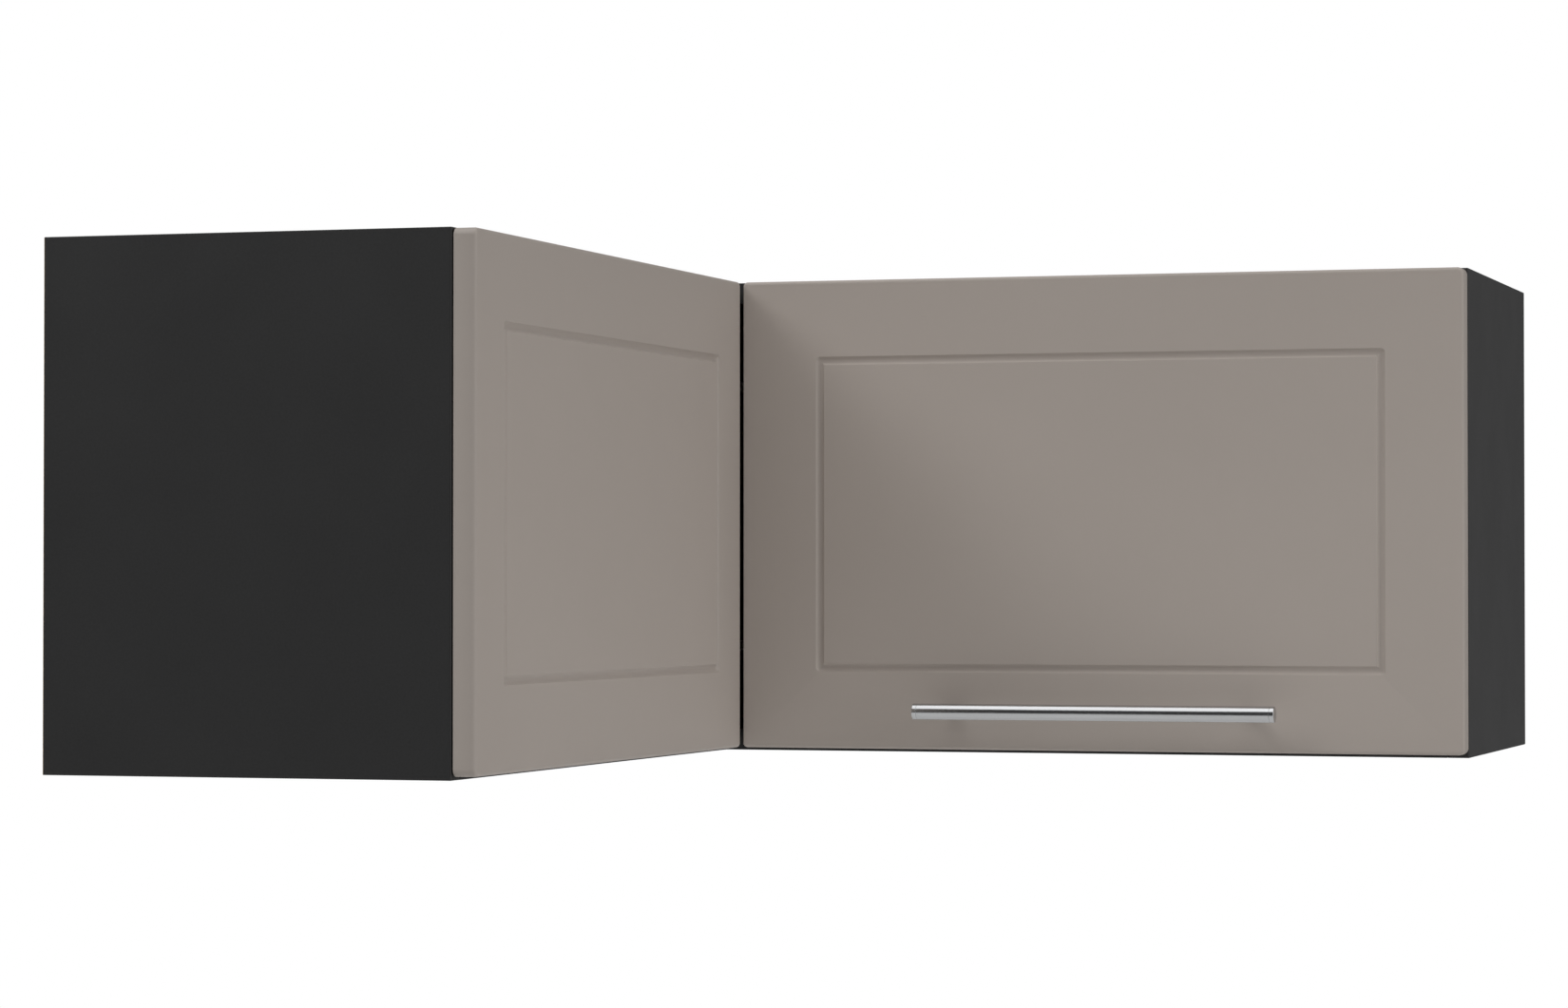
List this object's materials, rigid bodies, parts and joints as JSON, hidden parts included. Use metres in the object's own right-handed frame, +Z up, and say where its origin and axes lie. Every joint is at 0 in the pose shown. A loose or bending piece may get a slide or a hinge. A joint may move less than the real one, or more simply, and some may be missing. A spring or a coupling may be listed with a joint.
{
  "type": "corner wall cabinet",
  "caption": "Hanging corner cabinet with two short wings, framed taupe doors that fold on each other and a horizontal bar handle.",
  "frame": {"origin": "where the planes of the two walls meet, level with the underside of the cabinet", "axes": "+Z up; the right wing runs along +X with its back on y = 0; the left wing runs along -Y with its back on x = 0, so the right door faces -Y and the left door faces +X"},
  "size_m": [0.866, 0.866, 0.36],
  "materials": {
    "carcass_board": "anthracite melamine board, fine pore",
    "door_foil": "taupe foil-wrapped fibreboard, satin",
    "back_board": "thin pale fibreboard",
    "handle_steel": "satin brushed",
    "hinge_steel": "nickel-plated steel",
    "zinc_steel": "zinc-plated steel",
    "hanger_plastic": "matt grey",
    "bumper_rubber": "clear soft rubber"
  },
  "bodies": {
    "carcass": {"right_end_panel": "carcass_board", "left_end_panel": "carcass_board", "bottom_panel": "carcass_board", "top_panel": "carcass_board", "back_sheet_right": "back_board", "back_sheet_left": "back_board", "corner_stile": "back_board", "cam_right_bottom_rear": "zinc_steel", "cam_bolt_right_bottom_rear": "zinc_steel", "cam_right_bottom_front": "zinc_steel", "cam_bolt_right_bottom_front": "zinc_steel", "cam_right_top_rear": "zinc_steel", "cam_bolt_right_top_rear": "zinc_steel", "cam_right_top_front": "zinc_steel", "cam_bolt_right_top_front": "zinc_steel", "cam_left_bottom_rear": "zinc_steel", "cam_bolt_left_bottom_rear": "zinc_steel", "cam_left_bottom_front": "zinc_steel", "cam_bolt_left_bottom_front": "zinc_steel", "cam_left_top_rear": "zinc_steel", "cam_bolt_left_top_rear": "zinc_steel", "cam_left_top_front": "zinc_steel", "cam_bolt_left_top_front": "zinc_steel", "hanger_body_right": "hanger_plastic", "hanger_hook_right": "zinc_steel", "hanger_screw_right": "zinc_steel", "hanger_body_corner": "hanger_plastic", "hanger_hook_corner": "zinc_steel", "hanger_screw_corner": "zinc_steel", "hanger_body_left": "hanger_plastic", "hanger_hook_left": "zinc_steel", "hanger_screw_left": "zinc_steel", "swing_plate_lower": "hinge_steel", "swing_arm_lower": "hinge_steel", "swing_plate_upper": "hinge_steel", "swing_arm_upper": "hinge_steel"},
    "left_leaf": {"left_door": "door_foil", "swing_cup_lower": "hinge_steel", "fold_arm_lower": "hinge_steel", "fold_cup_lower": "hinge_steel", "swing_cup_upper": "hinge_steel", "fold_arm_upper": "hinge_steel", "fold_cup_upper": "hinge_steel"},
    "right_leaf": {"right_door": "door_foil", "handle_bar": "handle_steel", "handle_post_left": "handle_steel", "handle_screw_left": "zinc_steel", "handle_post_right": "handle_steel", "handle_screw_right": "zinc_steel", "bumper_lower": "bumper_rubber", "fold_plate_lower": "hinge_steel", "fold_pin_lower": "zinc_steel", "bumper_upper": "bumper_rubber", "fold_plate_upper": "hinge_steel", "fold_pin_upper": "zinc_steel"},
    "long_links": {"swing_long_link_lower": "hinge_steel", "swing_long_link_upper": "hinge_steel"},
    "short_links": {"swing_short_link_lower": "hinge_steel", "swing_short_link_upper": "hinge_steel"}
  },
  "joints": [
    {"name": "door_swing", "type": "hinge", "parent": "carcass", "child": "left_leaf", "pos_m": [0.31, -0.866, 0.18], "axis": [0, 0, -1], "range_deg": [0, 155]},
    {"name": "leaf_fold", "type": "hinge", "parent": "left_leaf", "child": "right_leaf", "pos_m": [0.311, -0.288, 0.18], "axis": [0, 0, 1], "range_deg": [0, 60.1]},
    {"name": "long_link_swing", "type": "hinge", "parent": "carcass", "child": "long_links", "pos_m": [0.288, -0.84224, 0.18], "axis": [0, 0, -1], "range_deg": [0, 115]},
    {"name": "short_link_fold", "type": "hinge", "parent": "long_links", "child": "short_links", "pos_m": [0.26435, -0.80935, 0.18], "axis": [0, 0, 1], "range_deg": [0, 71]}
  ],
  "couplings": [
    {"joint": "leaf_fold", "follows": "door_swing", "ratio": 0.3871},
    {"joint": "long_link_swing", "follows": "door_swing", "ratio": 0.74065},
    {"joint": "short_link_fold", "follows": "door_swing", "ratio": 0.45742}
  ]
}
